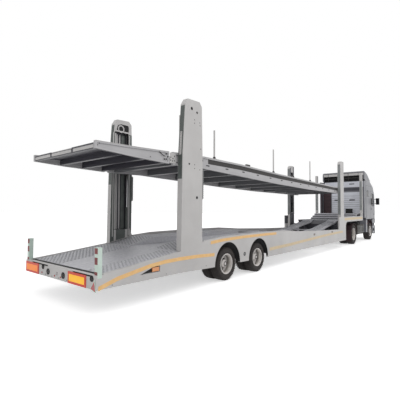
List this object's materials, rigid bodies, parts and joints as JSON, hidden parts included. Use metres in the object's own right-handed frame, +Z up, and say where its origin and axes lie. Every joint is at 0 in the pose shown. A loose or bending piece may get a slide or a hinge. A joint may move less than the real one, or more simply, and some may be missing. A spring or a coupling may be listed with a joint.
{
  "type": "car transporter truck",
  "caption": "Articulated car transporter: tractor unit hinged to a two-deck semi-trailer with lifting upper deck, rolling wheels, steering, tilting cab and doors.",
  "frame": {"origin": "centre of the overall length and width, on the road surface", "axes": "+X towards the tractor's nose, +Y to the vehicle's left, +Z up"},
  "size_m": [19.64, 3.04, 3.99],
  "materials": {
    "black_plastic": "moulded black",
    "cab_paint": "silver-white gloss paint",
    "cast": "cast and painted black",
    "dark_frame": "dark grey paint",
    "deck_steel": "galvanised sheet",
    "glass": "tinted glass",
    "interior": "grey trim",
    "lamp_amber": "amber lens",
    "marker_orange": "retroreflective sheet",
    "ram_chrome": "bright rod",
    "rim": "silver wheel paint",
    "silver_paint": "satin silver-grey paint",
    "tyre": "black tyre rubber"
  },
  "bodies": {
    "trailer": {"side_wall_left": "silver_paint", "side_wall_right": "silver_paint", "main_frame": "dark_frame", "cross_members": "dark_frame", "gooseneck_frame": "dark_frame", "tail_beam": "silver_paint", "marker_plates": "marker_orange", "marker_posts": "silver_paint", "rear_platform": "deck_steel", "wheel_deck": "deck_steel", "wheel_tracks": "deck_steel", "gooseneck_deck": "deck_steel", "rear_posts": "silver_paint", "front_posts": "silver_paint", "lift_barrels": "silver_paint", "trailer_axles": "cast", "trailer_mudguards": "black_plastic", "landing_legs": "dark_frame", "side_lamps": "lamp_amber"},
    "front_lift": {"front_carriages": "silver_paint"},
    "rear_lift": {"rear_rams": "ram_chrome"},
    "upper_deck": {"deck_frame": "silver_paint", "deck_tracks": "deck_steel", "stanchions": "silver_paint"},
    "rear_flap": {"deck_flap": "silver_paint"},
    "tractor": {"tractor_frame": "dark_frame", "engine_block": "cast", "fifth_wheel": "cast", "fuel_tanks": "silver_paint", "tractor_mudguards": "black_plastic", "tractor_axles": "cast", "bumper_and_skirts": "cab_paint", "rear_box": "black_plastic"},
    "cab": {"cab_shell": "cab_paint", "cab_glass": "glass", "cab_fairings": "cab_paint", "mirrors": "black_plastic", "cab_interior": "interior"},
    "door_left": {"door_left": "cab_paint", "door_glass_left": "glass"},
    "door_right": {"door_right": "cab_paint", "door_glass_right": "glass"},
    "knuckle_left": {"knuckle_left": "cast"},
    "knuckle_right": {"knuckle_right": "cast"},
    "wheel_trailer_rear_left": {"tyres_trailer_rear_left": "tyre", "rims_trailer_rear_left": "rim"},
    "wheel_trailer_rear_right": {"tyres_trailer_rear_right": "tyre", "rims_trailer_rear_right": "rim"},
    "wheel_trailer_front_left": {"tyres_trailer_front_left": "tyre", "rims_trailer_front_left": "rim"},
    "wheel_trailer_front_right": {"tyres_trailer_front_right": "tyre", "rims_trailer_front_right": "rim"},
    "wheel_tractor_rear_left": {"tyres_tractor_rear_left": "tyre", "rims_tractor_rear_left": "rim"},
    "wheel_tractor_rear_right": {"tyres_tractor_rear_right": "tyre", "rims_tractor_rear_right": "rim"},
    "wheel_tractor_front_left": {"tyres_tractor_front_left": "tyre", "rims_tractor_front_left": "rim"},
    "wheel_tractor_front_right": {"tyres_tractor_front_right": "tyre", "rims_tractor_front_right": "rim"}
  },
  "joints": [
    {"name": "front_lift_slide", "type": "slide", "parent": "trailer", "child": "front_lift", "axis": [0, 0, 1], "range_m": [-0.4, 0.2]},
    {"name": "deck_tilt", "type": "hinge", "parent": "front_lift", "child": "upper_deck", "pos_m": [2.85, 0, 2.61], "axis": [0, 1, 0], "range_deg": [-3, 0.8]},
    {"name": "rear_lift_slide", "type": "slide", "parent": "trailer", "child": "rear_lift", "axis": [0, 0, 1], "range_m": [-0.54, 0.145]},
    {"name": "flap_hinge", "type": "hinge", "parent": "upper_deck", "child": "rear_flap", "pos_m": [-8.075, 0, 2.64], "axis": [0, 1, 0], "range_deg": [-8, 15]},
    {"name": "kingpin_turn", "type": "hinge", "parent": "trailer", "child": "tractor", "pos_m": [5.475, 0, 1.06], "axis": [0, 0, 1], "range_deg": [-60, 60]},
    {"name": "cab_tilt", "type": "hinge", "parent": "tractor", "child": "cab", "pos_m": [9.705, 0, 0.9], "axis": [0, 1, 0], "range_deg": [0, 50]},
    {"name": "door_left_hinge", "type": "hinge", "parent": "cab", "child": "door_left", "pos_m": [9.505, 1.259, 2], "axis": [0, 0, -1], "range_deg": [0, 65]},
    {"name": "door_right_hinge", "type": "hinge", "parent": "cab", "child": "door_right", "pos_m": [9.505, -1.259, 2], "axis": [0, 0, 1], "range_deg": [0, 65]},
    {"name": "steer_left", "type": "hinge", "parent": "tractor", "child": "knuckle_left", "pos_m": [8.445, 0.86, 0.504], "axis": [0, 0, 1], "range_deg": [-35, 35]},
    {"name": "steer_right", "type": "hinge", "parent": "tractor", "child": "knuckle_right", "pos_m": [8.445, -0.86, 0.504], "axis": [0, 0, 1], "range_deg": [-35, 35]},
    {"name": "roll_trailer_rear_left", "type": "hinge", "parent": "trailer", "child": "wheel_trailer_rear_left", "pos_m": [-6.285, 1, 0.393], "axis": [0, 1, 0], "continuous": true},
    {"name": "roll_trailer_rear_right", "type": "hinge", "parent": "trailer", "child": "wheel_trailer_rear_right", "pos_m": [-6.285, -1, 0.393], "axis": [0, 1, 0], "continuous": true},
    {"name": "roll_trailer_front_left", "type": "hinge", "parent": "trailer", "child": "wheel_trailer_front_left", "pos_m": [-4.825, 1, 0.393], "axis": [0, 1, 0], "continuous": true},
    {"name": "roll_trailer_front_right", "type": "hinge", "parent": "trailer", "child": "wheel_trailer_front_right", "pos_m": [-4.825, -1, 0.393], "axis": [0, 1, 0], "continuous": true},
    {"name": "roll_tractor_rear_left", "type": "hinge", "parent": "tractor", "child": "wheel_tractor_rear_left", "pos_m": [4.925, 1, 0.504], "axis": [0, 1, 0], "continuous": true},
    {"name": "roll_tractor_rear_right", "type": "hinge", "parent": "tractor", "child": "wheel_tractor_rear_right", "pos_m": [4.925, -1, 0.504], "axis": [0, 1, 0], "continuous": true},
    {"name": "roll_tractor_front_left", "type": "hinge", "parent": "knuckle_left", "child": "wheel_tractor_front_left", "pos_m": [8.445, 1, 0.504], "axis": [0, 1, 0], "continuous": true},
    {"name": "roll_tractor_front_right", "type": "hinge", "parent": "knuckle_right", "child": "wheel_tractor_front_right", "pos_m": [8.445, -1, 0.504], "axis": [0, 1, 0], "continuous": true}
  ],
  "couplings": [
    {"joint": "steer_right", "follows": "steer_left", "ratio": 1},
    {"joint": "rear_lift_slide", "follows": "deck_tilt", "m_per_rad": 10.215}
  ]
}
